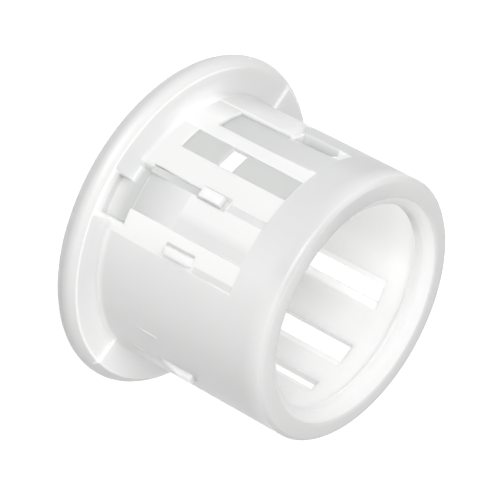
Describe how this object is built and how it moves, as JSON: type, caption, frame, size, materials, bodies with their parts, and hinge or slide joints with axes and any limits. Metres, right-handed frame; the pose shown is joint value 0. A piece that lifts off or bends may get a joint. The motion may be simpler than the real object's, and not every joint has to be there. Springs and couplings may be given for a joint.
{
  "type": "snap-in panel bushing",
  "caption": "Round flanged nylon bushing with a tubular barrel, thin staves, ramps and small lugs, which snaps into a panel hole and guards cables.",
  "frame": {"origin": "centre of the flange's front face, on which the part stands", "axes": "+Z along the bore from the flange to the nose, -Y towards the side with the staves and ramps"},
  "size_m": [0.0316, 0.0316, 0.0214],
  "materials": {
    "nylon": "natural moulded nylon, slightly translucent, soft satin gloss"
  },
  "bodies": {
    "root": {"bushing": "nylon"}
  },
  "joints": []
}
